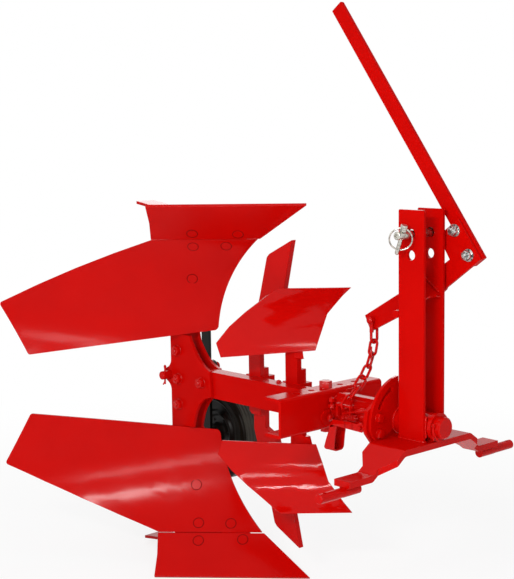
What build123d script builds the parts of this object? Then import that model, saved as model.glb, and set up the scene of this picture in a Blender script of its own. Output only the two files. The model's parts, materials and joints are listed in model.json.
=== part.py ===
from build123d import *
import math
import os

# Mounted turnover plough for a compact tractor, one furrow, millimetres.
# +X is the way it is pulled, +Y is the side away from the soil it throws, +Z is up.
# It is drawn with X = 0 at the middle of the mast and Y = Z = 0 on the axis it turns over on,
# and exported with the middle of the free top-link hole as the origin.

os.makedirs("parts", exist_ok=True)

# ---------------------------------------------------------------- driving sizes

FIT = 0.05                      # radial clearance of a turning fit
SEAT = 0.3                      # gap that a loose piece keeps from its seat

# mast: two upright flat bars on a cranked crossbar
MAST_BAR_WIDTH = 74
MAST_BAR_THICK = 8
MAST_TOP_Z = 492
MAST_CORNER_R = 4
TIE_LOW = (30, 298)             # front edge of the sloping tie plate, X and Z
TIE_HIGH = (-30, 341)           # rear edge
TIE_THICK = 8
CROSSBAR_THICK = 15
CROSSBAR_DROP = 50              # how far the ends lie below the middle
CROSSBAR_MID_HALF = 115         # half length of the high middle
CROSSBAR_BEND_HALF = 187        # half length to where the low ends start
CROSSBAR_END_HALF = 262
CROSSBAR_MID_X = (-55, 52)      # plan width of the middle, rear and front
CROSSBAR_END_X = (-26, 20)      # plan width of the ends
CROSSBAR_NARROW_Y = (140, 170)  # where the plan narrows, half lengths
CROSSBAR_BEND_R = 14

# hitch points
TOP_HOLE_R = 11
TOP_HOLE_UPPER_Z = 438
TOP_HOLE_LOWER_Z = 390
TOP_PIN_R = 9.5
TOP_PIN_NEAR_Y = -86
TOP_PIN_HEAD_R = 14
TOP_PIN_HEAD_THICK = 2.5
LOWER_PIN_R = 11                # free end, turned down from the welded root
LOWER_PIN_ROOT_R = 11.5
LOWER_PIN_SHOULDER = 2          # root past the crossbar's end
LOWER_PIN_INNER_Y = 214
LOWER_PIN_OUTER_Y = 338
LOWER_PIN_BED = 1               # how deep the pins are bedded in the crossbar
PIN_CHAMFER = 2
LINCH_HOLE_R = 5
LINCH_HOLE_INSET = 18           # linch hole to the end of its pin
LINCH_RING_R = 27
LINCH_RING_WIRE_R = 2
LINCH_HEAD_R = 9

# turnover shaft and the fixed tube it turns in
SHAFT_R = 25
SHAFT_FRONT_X = 72
HUB_TUBE_WALL = 5
HUB_TUBE_X = (-72, 44)
WASHER_RIM = 3                  # how far the washer stands past the tube
WASHER_THICK = 9
SHAFT_CHAMFER = 3
SLEEVE_WALL = 6
RIB_HEIGHT = 6
RIB_WIDTH = 20
SECTOR_THICK = 8
SECTOR_FRONT_X = -60
SECTOR_R = 105.5
SECTOR_EDGE_Y = -10
SLOT_R = 84
SLOT_WIDTH = 10
SLOT_START, SLOT_SWEEP = 113, 42    # degrees round the hub from +Y
ADJUSTER_THICK = 10
ADJUSTER_R = 112

# cross channel, open to the rear
CHANNEL_PLAY = 4.5              # above and below the beam
CHANNEL_FLANGE = 55
CHANNEL_THICK = 8
CHANNEL_FRONT_X = -257
CHANNEL_Y = (-199, 151)
CHANNEL_HOLE_PITCH = 50
CHANNEL_HOLE_R = 8.5
CHANNEL_HOLE_INSET = 27         # from the channel's web to its holes

# beam
BEAM_WIDTH = 40
BEAM_HEIGHT = 70
BEAM_WALL = 5
BEAM_MID_Y = -21
BEAM_REAR_X = -834
BEAM_BOLT_R = 8

# leg plates, one each side of the beam
LEG_THICK = 10
LEG_REAR_X = -840
LEG_END_Z = 440
EAR_X = -847
EAR_Z = 9
EAR_R = 21
EAR_FILLET_R = 25
LEG_TRIM_Z = 124                # below this height the moldboard takes nothing off the legs

# plough bodies, given for the upper one; the lower one is its mirror image
SHARE_EDGE_Z = 480
SHARE_TIP_X = -410
SHARE_TIP_Y = 45
SHARE_LENGTH = 405
SHARE_DEPTH = 124
SHARE_TOP_START = 122           # where the share's top edge begins, along the cutting edge
SHARE_HOLLOW = 3                # its outer end is hollow by this much
SHARE_THICK = 9
SHARE_ANGLE = 43.3              # plan angle of the cutting edge to the way it is pulled
SHARE_SLOPE = 47                # slope of the share's face
BOARD_START = 128               # where the moldboard begins, along the cutting edge
BOARD_SHIN = 0.014              # how far its front edge leans back, for each millimetre
BOARD_CORNER_R = 8
BOARD_FOOT_R = 14               # rounding where the front edge meets the edge next to the beam
BOARD_THICK = 6
BOARD_STEP = 3                  # how far the moldboard lies behind the share's face
BOARD_UPRIGHT_Z = 120           # height where the moldboard's face is upright
BOARD_TWIST = 0.0199            # degrees of plan angle for each millimetre towards the beam
BOARD_REACH = 655               # length lofted before it is trimmed
HEEL_WIDTH_Y = (-59, 1)
HEEL_THICK = 8
# the heel bends out past the legs: X, and how far out its face next to the legs lies
HEEL_BEND = [(-964, 28), (-900, 19), (-840, 8), (-780, 1), (-700, 0)]
LANDSIDE_X = (-930, -625)
LANDSIDE_Z = (372, 438)
LANDSIDE_THICK = 9

# skimmers
SKIM_EDGE_Z = 284
SKIM_TIP = (-277, 64)
SKIM_ANGLE = 47
SKIM_UPRIGHT_Z = 140
SKIM_TILT = 38                  # lean of the face at its cutting edge, from upright
SKIM_THICK = 6
SKIM_REACH = 345

# stalks of the skimmers and of the knife coulters, on the beam's far side
STALK_THICK = 16
KNIFE_STALK_X = (-582, -539)
KNIFE_STALK_PAST = (66, 57)     # how far each stalk's end stands past the beam's middle, upper and lower
SKIM_STALK_X = (-445, -403)
SKIM_STALK_PAST = (66, 71)
SOCKET_WALL = 10
SOCKET_HALF = 37
SOCKET_SCREW = (18, 8)          # across the flats, and length

# depth wheel
WHEEL_R = 133
WHEEL_WIDTH = 76
WHEEL_NEAR_Y = 100
WHEEL_SHAFT_R = 11.5
WHEEL_SHAFT_ROUND = 3
WHEEL_SHAFT_NEAR_Y = -79
WHEEL_ARM_LENGTH = 190
WHEEL_ARM_UP = 120
WHEEL_ARM_WIDTH = 30
WHEEL_ARM_THICK = 9
WHEEL_ARM_Y = 79
WHEEL_ARM_BOSS_R = 19
WHEEL_AXLE_R = 10
WHEEL_HUB_R = 24
RIM_R = 94
RIM_SIDE = 22                   # how far the rim's disc lies inside the tyre's sides
STOP_PEG_R = 5
STOP_PEG_REACH = 30             # from the arm's hinge to the stop peg
STOP_COLLAR_Y = (49, 63)

# turnover lever
LEVER_PIVOT = (8, 314)          # X and Z
LEVER_PIN_R = 9.5
LEVER_THICK = 8
LEVER_GAP = 8                   # clear width between the mast and the lever plate
LEVER_CORNER = (134, 385.5)     # lowest front corner of plate and handle
HANDLE_WIDTH = 36
HANDLE_THICK = 12
HANDLE_LENGTH = 728
HANDLE_LEAN = 36.4              # degrees that it leans to the rear, from upright
ARM_WIDTH = 42
ARM_SLOPE = 27                  # degrees that the arm falls to the rear
ARM_REACH = 240
STOP_BAR_R = 9

# chain
CHAIN_WIRE_R = 3.3
CHAIN_INNER = 31.5
CHAIN_WIDTH = 27
CHAIN_DRIFT = 0.02
# each link's lean from upright to the near side, and its twist from facing forwards
CHAIN_LINKS = [(15.5, 5), (26.5, 108), (37.5, 182), (45.5, 254), (51.5, 333), (51.5, 262)]
SHACKLE_DROP = 56
SHACKLE_WIRE_R = 3.5
SHACKLE_HALF_WIDTH = 10.5
SHACKLE_PIN_R = 5

# latch
LATCH_PIVOT_FROM_EYE = (73.2, -36.3)      # X and Z, from the eye that the chain holds
LATCH_PIN_R = 5
LATCH_SIDES = (-23, 13)         # Y of its two sides, from the eye
LATCH_SHEET = 3
LATCH_EYE_R = 3.5
CATCH_THICK = 4

# ---------------------------------------------------------------- worked out from them

HUB_TUBE_R = SHAFT_R + HUB_TUBE_WALL
SLEEVE_R = SHAFT_R + SLEEVE_WALL
WASHER_R = HUB_TUBE_R + WASHER_RIM
MAST_IN = HUB_TUBE_R - 1        # the tube is let into the bars
MAST_OUT = MAST_IN + MAST_BAR_THICK
MAST_X = (-MAST_BAR_WIDTH / 2, MAST_BAR_WIDTH / 2)
CROSSBAR_TOP_Z = -WASHER_R      # the tube and its washer rest above the crossbar
LEVER_Y = (MAST_OUT + LEVER_GAP, MAST_OUT + LEVER_GAP + LEVER_THICK)
BEAM_Y = (BEAM_MID_Y - BEAM_WIDTH / 2, BEAM_MID_Y + BEAM_WIDTH / 2)
CHANNEL_HEIGHT = BEAM_HEIGHT + 2 * (CHANNEL_THICK + CHANNEL_PLAY)
CHANNEL_HOLE_X = CHANNEL_FRONT_X - CHANNEL_HOLE_INSET
CROSSBAR_END_Z = CROSSBAR_TOP_Z - CROSSBAR_DROP - CROSSBAR_THICK
LOWER_PIN_Z = CROSSBAR_END_Z - LOWER_PIN_ROOT_R + LOWER_PIN_BED
TOP_PIN_Z = TOP_HOLE_UPPER_Z - (TOP_HOLE_R - TOP_PIN_R - SEAT)
SECTOR_X = (SECTOR_FRONT_X - SECTOR_THICK, SECTOR_FRONT_X)
ADJUSTER_X = (SECTOR_X[0] - ADJUSTER_THICK, SECTOR_X[0])
SHAFT_LINE = (-2000, 2000)


def box(x, y, z):
    """Box between two limits on each axis."""
    size = (x[1] - x[0], y[1] - y[0], z[1] - z[0])
    centre = ((x[0] + x[1]) / 2, (y[0] + y[1]) / 2, (z[0] + z[1]) / 2)
    return Pos(*centre) * Box(*size)


def rod(axis, at, span, radius):
    """Cylinder along X, Y or Z, at the two other coordinates, over a span."""
    middle = (span[0] + span[1]) / 2
    length = span[1] - span[0]
    if axis == "X":
        return Pos(middle, *at) * Rot(0, 90, 0) * Cylinder(radius, length)
    if axis == "Y":
        return Pos(at[0], middle, at[1]) * Rot(90, 0, 0) * Cylinder(radius, length)
    return Pos(*at, middle) * Cylinder(radius, length)


def plate(points, y):
    """Flat plate of X, Z points between two Y limits."""
    outline = make_face(Polyline(*[(px, 0, pz) for px, pz in points], close=True))
    return Pos(0, y[0], 0) * extrude(outline, amount=y[1] - y[0], dir=(0, 1, 0))


def cross_plate(points, x):
    """Flat plate of Y, Z points between two X limits."""
    outline = make_face(Polyline(*[(0, py, pz) for py, pz in points], close=True))
    return Pos(x[0], 0, 0) * extrude(outline, amount=x[1] - x[0], dir=(1, 0, 0))


def hexagon(axis, at, span, across):
    """Hexagonal prism along an axis, sized across its flats."""
    outline = RegularPolygon(across / 2, 6, major_radius=False)
    prism = extrude(outline, amount=span[1] - span[0])
    if axis == "X":
        return Pos(span[0], *at) * Rot(0, 90, 0) * prism
    if axis == "Y":
        return Pos(at[0], span[0], at[1]) * Rot(-90, 0, 0) * prism
    return Pos(*at, span[0]) * prism


def apart(shapes):
    """Like pieces that do not touch, as one node."""
    return Compound([solid for shape in shapes for solid in shape.solids()])


def upside_down(shape):
    return shape.mirror(Plane.XY)


nodes = {}

# ---------------------------------------------------------------- headstock

tube_hole = rod("X", (0, 0), SHAFT_LINE, HUB_TUBE_R)
for name, y in (("near", (-MAST_OUT, -MAST_IN)), ("far", (MAST_IN, MAST_OUT))):
    bar = box(MAST_X, y, (CROSSBAR_TOP_Z, MAST_TOP_Z))
    bar = fillet(bar.edges().filter_by(Axis.Y).group_by(Axis.Z)[-1], MAST_CORNER_R)
    for z in (TOP_HOLE_UPPER_Z, TOP_HOLE_LOWER_Z):
        bar -= rod("Y", (0, z), y, TOP_HOLE_R)
    nodes[f"mast_bar_{name}"] = bar - tube_hole

tie_length = math.dist(TIE_LOW, TIE_HIGH)
tie_down_x = -TIE_THICK * (TIE_HIGH[1] - TIE_LOW[1]) / tie_length
tie_down_z = -TIE_THICK * (TIE_LOW[0] - TIE_HIGH[0]) / tie_length
tie_points = [
    TIE_LOW,
    TIE_HIGH,
    (TIE_HIGH[0] + tie_down_x, TIE_HIGH[1] + tie_down_z),
    (TIE_LOW[0] + tie_down_x, TIE_LOW[1] + tie_down_z),
]
nodes["mast_tie_plate"] = plate(tie_points, (-MAST_IN, MAST_IN))

# crossbar: its side view along Y, cut to its plan shape
low_z = CROSSBAR_TOP_Z - CROSSBAR_DROP
upper_line = [
    (-CROSSBAR_END_HALF, low_z),
    (-CROSSBAR_BEND_HALF, low_z),
    (-CROSSBAR_MID_HALF, CROSSBAR_TOP_Z),
    (CROSSBAR_MID_HALF, CROSSBAR_TOP_Z),
    (CROSSBAR_BEND_HALF, low_z),
    (CROSSBAR_END_HALF, low_z),
]
lower_line = [(y, z - CROSSBAR_THICK) for y, z in reversed(upper_line)]
crossbar = cross_plate(upper_line + lower_line, CROSSBAR_MID_X)
bends = [e for e in crossbar.edges().filter_by(Axis.X) if abs(e.center().Y) < CROSSBAR_BEND_HALF + 1]
crossbar = fillet(bends, CROSSBAR_BEND_R)
front_edge = [
    (CROSSBAR_END_X[1], CROSSBAR_END_HALF),
    (CROSSBAR_END_X[1], CROSSBAR_NARROW_Y[1]),
    (CROSSBAR_MID_X[1], CROSSBAR_NARROW_Y[0]),
]
rear_edge = [
    (CROSSBAR_MID_X[0], CROSSBAR_NARROW_Y[0]),
    (CROSSBAR_END_X[0], CROSSBAR_NARROW_Y[1]),
    (CROSSBAR_END_X[0], CROSSBAR_END_HALF),
]
far_half = front_edge + [(CROSSBAR_MID_X[1], 0), (CROSSBAR_MID_X[0], 0)] + rear_edge
outline = make_face(Polyline(*[(x, y, CROSSBAR_END_Z) for x, y in far_half], close=True))
outline += outline.mirror(Plane.XZ)
crossbar = crossbar & extrude(outline, amount=CROSSBAR_TOP_Z - CROSSBAR_END_Z, dir=(0, 0, 1))

for name, sign in (("near", -1), ("far", 1)):
    outer_y = sign * LOWER_PIN_OUTER_Y
    shoulder_y = sign * (CROSSBAR_END_HALF + LOWER_PIN_SHOULDER)
    root = rod("Y", (0, LOWER_PIN_Z), sorted((sign * LOWER_PIN_INNER_Y, shoulder_y)), LOWER_PIN_ROOT_R)
    crossbar -= root
    pin = rod("Y", (0, LOWER_PIN_Z), sorted((shoulder_y, outer_y)), LOWER_PIN_R)
    end_edge = pin.edges().filter_by(GeomType.CIRCLE).sort_by(lambda e: abs(e.center().Y))[-1]
    pin = chamfer(end_edge, PIN_CHAMFER) + root
    linch_y = outer_y - sign * LINCH_HOLE_INSET
    pin -= rod("Z", (0, linch_y), SHAFT_LINE, LINCH_HOLE_R)
    nodes[f"lower_hitch_pin_{name}"] = pin
nodes["lower_crossbar"] = crossbar

LINCH_Y = TOP_PIN_NEAR_Y + LINCH_HOLE_INSET
head_y = (MAST_OUT + SEAT, MAST_OUT + SEAT + TOP_PIN_HEAD_THICK)
top_pin = rod("Y", (0, TOP_PIN_Z), (TOP_PIN_NEAR_Y, head_y[0]), TOP_PIN_R)
top_pin = chamfer(top_pin.edges().filter_by(GeomType.CIRCLE).group_by(Axis.Y)[0], PIN_CHAMFER)
top_pin += rod("Y", (0, TOP_PIN_Z), head_y, TOP_PIN_HEAD_R)
nodes["top_link_pin"] = top_pin - rod("Z", (0, LINCH_Y), SHAFT_LINE, LINCH_HOLE_R)

linch_head_z = (TOP_PIN_Z + TOP_PIN_R + SEAT, TOP_PIN_Z + TOP_PIN_R + 16)
ring_z = linch_head_z[1] - 8 - LINCH_RING_R
linch = rod("Z", (0, LINCH_Y), (ring_z - LINCH_RING_R - 6, linch_head_z[0]), LINCH_HOLE_R - SEAT)
linch += rod("Z", (0, LINCH_Y), linch_head_z, LINCH_HEAD_R)
nodes["linch_pin"] = linch + Pos(0, LINCH_Y, ring_z) * Rot(90, 0, 0) * Torus(LINCH_RING_R, LINCH_RING_WIRE_R)

# fixed tube that the turnover shaft runs in, and the two plates on its rear end
shaft_hole = rod("X", (0, 0), SHAFT_LINE, SHAFT_R + FIT)
nodes["hub_tube"] = rod("X", (0, 0), HUB_TUBE_X, HUB_TUBE_R) - shaft_hole

sector_trim = [
    (SECTOR_EDGE_Y, SECTOR_R),
    (-SECTOR_R, SECTOR_R),
    (-SECTOR_R, -10),
    (-96, -27),
    (-83, -40),
    (-71, -40),
    (SECTOR_EDGE_Y, -8),
]
sector = rod("X", (0, 0), SECTOR_X, SECTOR_R) & cross_plate(sector_trim, SECTOR_X)
slot_arc = CenterArc((0, 0, 0), SLOT_R, SLOT_START, SLOT_SWEEP)
slot = Plane.YZ.location * extrude(trace(slot_arc, SLOT_WIDTH), amount=SHAFT_LINE[0])
nodes["sector_plate"] = sector - tube_hole - slot

adjuster_trim = [(10, 88), (-36, 88), (-60, 64), (-98, 40)]
adjuster_trim += [(-ADJUSTER_R, 30), (-ADJUSTER_R, -16), (-88, -46), (10, -46)]
adjuster = rod("X", (0, 0), ADJUSTER_X, ADJUSTER_R) & cross_plate(adjuster_trim, ADJUSTER_X)
nodes["adjuster_plate"] = adjuster - tube_hole

SECTOR_BOLTS = [(-80, 17), (-78, -20)]
bolt_x = (SECTOR_X[1], SECTOR_X[1] + 8)
nodes["sector_bolts"] = apart([hexagon("X", at, bolt_x, 19) for at in SECTOR_BOLTS])

# ---------------------------------------------------------------- lever

lean = math.radians(HANDLE_LEAN)
HANDLE_WAY = (-math.sin(lean), math.cos(lean))
ACROSS_WAY = (math.cos(lean), math.sin(lean))
slope = math.radians(ARM_SLOPE)
ARM_WAY = (-math.cos(slope), -math.sin(slope))
ARM_UP_WAY = (-math.sin(slope), math.cos(slope))


def from_corner(across, along):
    """X and Z of a point on the handle's side, from its lowest front corner."""
    return (
        LEVER_CORNER[0] + across * ACROSS_WAY[0] + along * HANDLE_WAY[0],
        LEVER_CORNER[1] + across * ACROSS_WAY[1] + along * HANDLE_WAY[1],
    )


def from_pivot(along, up):
    """X and Z of a point on the arm, from the lever's pivot."""
    return (
        LEVER_PIVOT[0] + along * ARM_WAY[0] + up * ARM_UP_WAY[0],
        LEVER_PIVOT[1] + along * ARM_WAY[1] + up * ARM_UP_WAY[1],
    )


CHAIN_PIN = from_pivot(ARM_REACH - 20, 2)
lever_points = [
    from_corner(-4, 0),
    from_corner(-4, 108),
    from_corner(-74, 108),
    from_corner(-78, 47),
    from_corner(-116, 48),
    from_pivot(ARM_REACH, ARM_WIDTH / 2),
    from_pivot(ARM_REACH, -ARM_WIDTH / 2),
    from_pivot(0, -ARM_WIDTH / 2),
    from_pivot(-18, -ARM_WIDTH / 2 + 4),
    from_corner(-124, 0),
]
lever = plate(lever_points, LEVER_Y)
lever -= rod("Y", LEVER_PIVOT, LEVER_Y, LEVER_PIN_R + FIT)
lever -= rod("Y", CHAIN_PIN, LEVER_Y, SHACKLE_PIN_R + FIT)
nodes["lever_plate"] = lever

handle_points = [
    from_corner(0, 0),
    from_corner(0, HANDLE_LENGTH),
    from_corner(-HANDLE_WIDTH, HANDLE_LENGTH),
    from_corner(-HANDLE_WIDTH, 0),
]
nodes["lever_handle"] = plate(handle_points, (LEVER_Y[1], LEVER_Y[1] + HANDLE_THICK))

HANDLE_BOLTS = [from_corner(-HANDLE_WIDTH / 2 - 4, 22), from_corner(-HANDLE_WIDTH / 2 - 4, 88)]
nodes["lever_bolts"] = apart(
    [hexagon("Y", at, (LEVER_Y[0] - 9, LEVER_Y[0]), 19) for at in HANDLE_BOLTS]
)

# the lever's pin on the far mast bar, with its spacer, and the bar that stops the arm
collar_y = (MAST_OUT, LEVER_Y[0] - SEAT)
pin_end_y = LEVER_Y[1] + 16
pivot_pin = rod("Y", LEVER_PIVOT, (MAST_OUT, pin_end_y), LEVER_PIN_R)
pivot_pin += rod("Y", LEVER_PIVOT, collar_y, LEVER_PIN_R + 6)
split_z = (LEVER_PIVOT[1] - 34, LEVER_PIVOT[1] + 14)
pivot_pin += rod("Z", (LEVER_PIVOT[0], LEVER_Y[1] + 9), split_z, 2)
nodes["lever_pivot_pin"] = pivot_pin

stop_x = MAST_X[0] - STOP_BAR_R
stop_up = -ARM_WIDTH / 2 - STOP_BAR_R - SEAT
stop_along = (LEVER_PIVOT[0] - stop_x - stop_up * math.sin(slope)) / math.cos(slope)
stop_z = from_pivot(stop_along, stop_up)[1]
nodes["lever_stop_bar"] = rod("Y", (stop_x, stop_z), (-MAST_OUT, LEVER_Y[1]), STOP_BAR_R)

# ---------------------------------------------------------------- chain


def chain_way(lean):
    """Direction down the chain, leaning to the near side."""
    angle = math.radians(lean)
    return Vector(CHAIN_DRIFT, -math.sin(angle), -math.cos(angle)).normalized()


def chain_link(centre, way, twist):
    """Link of round wire: two straight sides and two half rings."""
    side = CHAIN_WIDTH / 2 - CHAIN_WIRE_R
    half = CHAIN_INNER / 2 - side + CHAIN_WIRE_R
    ring = Torus(side, CHAIN_WIRE_R)
    body = Pos(0, half, 0) * (ring & Pos(0, CHAIN_WIDTH, 0) * Box(*[2 * CHAIN_WIDTH] * 3))
    body += Pos(0, -half, 0) * (ring & Pos(0, -CHAIN_WIDTH, 0) * Box(*[2 * CHAIN_WIDTH] * 3))
    for x in (-side, side):
        body += Pos(x, 0, 0) * Rot(90, 0, 0) * Cylinder(CHAIN_WIRE_R, 2 * half)
    along_x = (Vector(1, 0, 0) - way * way.X).normalized()
    across = way.cross(along_x)
    turn = math.radians(twist)
    width_way = along_x * math.cos(turn) - across * math.sin(turn)
    return Plane(origin=centre, x_dir=width_way, z_dir=width_way.cross(way)).location * body


shackle_y = (LEVER_Y[0] + LEVER_Y[1]) / 2
bow_z = CHAIN_PIN[1] - SHACKLE_DROP + SHACKLE_HALF_WIDTH
bow = Pos(CHAIN_PIN[0], shackle_y, bow_z) * Rot(0, 90, 0) * Torus(SHACKLE_HALF_WIDTH, SHACKLE_WIRE_R)
below_bow = box((-600, 600), (-600, 600), (bow_z - 100, bow_z))
shackle = bow & below_bow
for sign in (-1, 1):
    leg_y = shackle_y + sign * SHACKLE_HALF_WIDTH
    shackle += rod("Z", (CHAIN_PIN[0], leg_y), (bow_z, CHAIN_PIN[1]), SHACKLE_WIRE_R)
    shackle += rod("Y", CHAIN_PIN, (leg_y - 4, leg_y + 4), 8)
pin_half = SHACKLE_HALF_WIDTH + SHACKLE_WIRE_R + 3
shackle += rod("Y", CHAIN_PIN, (shackle_y - pin_half, shackle_y + pin_half), SHACKLE_PIN_R)
nodes["chain_shackle"] = shackle

pitch = CHAIN_INNER - SEAT
first_drop = SHACKLE_DROP - SHACKLE_WIRE_R - SEAT
link_at = Vector(CHAIN_PIN[0], shackle_y, CHAIN_PIN[1] - first_drop)
link_at += chain_way(CHAIN_LINKS[0][0]) * (CHAIN_INNER / 2)
links = []
for index, (lean, twist) in enumerate(CHAIN_LINKS):
    if index:
        link_at += (chain_way(CHAIN_LINKS[index - 1][0]) + chain_way(lean)) * (pitch / 2)
    links.append(chain_link(link_at, chain_way(lean), twist))
nodes["chain_links"] = apart(links)
chain_eye = link_at + chain_way(CHAIN_LINKS[-1][0]) * (CHAIN_INNER / 2 - LATCH_EYE_R - SEAT)

# ---------------------------------------------------------------- latch

LATCH_PIVOT = (chain_eye.X + LATCH_PIVOT_FROM_EYE[0], chain_eye.Z + LATCH_PIVOT_FROM_EYE[1])
LATCH_Y = (chain_eye.Y + LATCH_SIDES[0], chain_eye.Y + LATCH_SIDES[1])


def from_eye(points):
    """X and Z points given from the latch's eye."""
    return [(chain_eye.X + x, chain_eye.Z + z) for x, z in points]


latch_low = [(83, -36), (77, -48), (-5, -45), (-10, -72), (-14, -106)]
latch_low += [(-37, -110), (-46, -102), (-39, -84), (-25, -54)]
near_y = (LATCH_Y[0], LATCH_Y[0] + LATCH_SHEET)
far_y = (LATCH_Y[1] - LATCH_SHEET, LATCH_Y[1])
near_side = plate(from_eye(latch_low + [(-17, -31), (40, -29), (60, -30), (77, -24)]), near_y)
far_side = plate(from_eye(latch_low + [(-19, -20), (50, 0), (73, -18)]), far_y)
web = [(-46, -102), (-39, -84), (-25, -54), (-19, -22), (-16, -22), (-22, -54), (-36, -84), (-43, -102)]
latch = near_side + far_side + plate(from_eye(web), LATCH_Y)
for x, low_z in (((45, 48), -46), ((22, 25), -44)):
    latch += box((chain_eye.X + x[0], chain_eye.X + x[1]), LATCH_Y, (chain_eye.Z + low_z, chain_eye.Z - 30))
# bar that the last link hangs from, with a tab at each end
tab_y = (chain_eye.Y - 7, chain_eye.Y + 7)
for x, low_z in (((-19, -16), -26), ((22, 25), -34)):
    latch += box((chain_eye.X + x[0], chain_eye.X + x[1]), tab_y, (chain_eye.Z + low_z, chain_eye.Z + 7))
latch += rod("X", (chain_eye.Y, chain_eye.Z), (chain_eye.X - 19, chain_eye.X + 25), LATCH_EYE_R)
nodes["latch_body"] = latch - rod("Y", LATCH_PIVOT, LATCH_Y, LATCH_PIN_R + FIT)

# latch bracket: two ears behind the adjuster plate, with the latch's pin through them
EAR_THICK = 5
EAR_SIDE_GAP = 5
ear_points = [
    (ADJUSTER_X[0], 8),
    (ADJUSTER_X[0], -34),
    (LATCH_PIVOT[0] - 6, LATCH_PIVOT[1] - 10),
    (LATCH_PIVOT[0] - 11, LATCH_PIVOT[1]),
    (LATCH_PIVOT[0] - 6, LATCH_PIVOT[1] + 10),
]
ear_y = (LATCH_Y[0] + LATCH_SHEET + EAR_SIDE_GAP, LATCH_Y[1] - LATCH_SHEET - EAR_SIDE_GAP)
bracket = plate(ear_points, (ear_y[0], ear_y[0] + EAR_THICK))
bracket += plate(ear_points, (ear_y[1] - EAR_THICK, ear_y[1]))
bracket += rod("Y", LATCH_PIVOT, (LATCH_Y[0] - 6, LATCH_Y[1] + 6), LATCH_PIN_R)
nodes["latch_bracket"] = bracket

# ---------------------------------------------------------------- turnover frame

shaft = rod("X", (0, 0), (CHANNEL_FRONT_X, SHAFT_FRONT_X), SHAFT_R)
nodes["turn_shaft"] = chamfer(shaft.faces().sort_by(Axis.X)[-1].edges(), SHAFT_CHAMFER)

shaft_body = rod("X", (0, 0), SHAFT_LINE, SHAFT_R)
washer_x = (HUB_TUBE_X[1] + SEAT, HUB_TUBE_X[1] + SEAT + WASHER_THICK)
nodes["shaft_washer"] = rod("X", (0, 0), washer_x, WASHER_R) - shaft_body

sleeve_x = (CHANNEL_FRONT_X, ADJUSTER_X[0] - SEAT)
rib_top = SLEEVE_R + RIB_HEIGHT
sleeve = rod("X", (0, 0), sleeve_x, SLEEVE_R)
sleeve += box(sleeve_x, (-RIB_WIDTH / 2, RIB_WIDTH / 2), (-rib_top, rib_top))
nodes["turn_sleeve"] = sleeve - shaft_body

half_height = CHANNEL_HEIGHT / 2
channel_x = (CHANNEL_FRONT_X - CHANNEL_FLANGE, CHANNEL_FRONT_X)
channel = box(channel_x, CHANNEL_Y, (-half_height, half_height))
channel = fillet(channel.edges().filter_by(Axis.Y).group_by(Axis.X)[-1], CHANNEL_THICK + 2)
inside_z = half_height - CHANNEL_THICK
channel -= box((channel_x[0], CHANNEL_FRONT_X - CHANNEL_THICK), CHANNEL_Y, (-inside_z, inside_z))
for step in range(-2, 3):
    at = (CHANNEL_HOLE_X, BEAM_MID_Y + step * CHANNEL_HOLE_PITCH)
    channel -= rod("Z", at, (-half_height, half_height), CHANNEL_HOLE_R)
nodes["cross_channel"] = channel

beam_x = (BEAM_REAR_X, CHANNEL_FRONT_X - CHANNEL_THICK)
half_beam = BEAM_HEIGHT / 2
beam = box(beam_x, BEAM_Y, (-half_beam, half_beam))
beam -= box(
    beam_x,
    (BEAM_Y[0] + BEAM_WALL, BEAM_Y[1] - BEAM_WALL),
    (-half_beam + BEAM_WALL, half_beam - BEAM_WALL),
)
bolt_at = (CHANNEL_HOLE_X, BEAM_MID_Y)
nodes["beam"] = beam - rod("Z", bolt_at, (-half_beam, half_beam), CHANNEL_HOLE_R)

beam_bolt = rod("Z", bolt_at, (-half_height, half_height), BEAM_BOLT_R)
beam_bolt += hexagon("Z", bolt_at, (half_height, half_height + 18), 30)
nodes["beam_bolt"] = beam_bolt + hexagon("Z", bolt_at, (-half_height - 14, -half_height), 26)

catch_points = [(-11, -4), (-11, -34), (-24, -41), (-52, -41), (-68, -22), (-68, -10), (-56, 0), (-34, 0)]
catch = cross_plate(catch_points, (CHANNEL_FRONT_X, CHANNEL_FRONT_X + CATCH_THICK)) - rod(
    "X", (0, 0), SHAFT_LINE, rib_top
)
nodes["catch_lugs"] = apart([catch, Rot(180, 0, 0) * catch])

# ---------------------------------------------------------------- plough bodies

share_rad = math.radians(SHARE_ANGLE)
slope_rad = math.radians(SHARE_SLOPE)
edge_way = Vector(-math.cos(share_rad), -math.sin(share_rad), 0)
out_way = Vector(math.sin(share_rad), -math.cos(share_rad), 0)
down_way = out_way * -math.cos(slope_rad) + Vector(0, 0, -math.sin(slope_rad))
face_way = out_way * math.sin(slope_rad) + Vector(0, 0, -math.cos(slope_rad))
share_tip = Vector(SHARE_TIP_X, SHARE_TIP_Y, SHARE_EDGE_Z)


def share_slab(points, front, back):
    """Slab on the share's plane, between two depths behind its face."""
    corners = [share_tip + edge_way * s + down_way * r - face_way * front for s, r in points]
    return extrude(make_face(Polyline(*corners, close=True)), amount=back - front, dir=face_way * -1)


share_points = [(0, 0), (SHARE_LENGTH, 0), (SHARE_LENGTH - SHARE_HOLLOW, SHARE_DEPTH / 2)]
share_points += [(SHARE_LENGTH, SHARE_DEPTH), (SHARE_TOP_START, SHARE_DEPTH)]
nodes["share_upper"] = share_slab(share_points, 0, SHARE_THICK)

board_top = share_tip + edge_way * BOARD_START + down_way * SHARE_DEPTH
joint_z = board_top.Z
start_tilt = math.radians(90 - SHARE_SLOPE)
board_r = (joint_z - BOARD_UPRIGHT_Z) / math.sin(start_tilt)
BOARD_HEIGHTS = [joint_z, 325, 255, 190, 130, 70]


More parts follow.
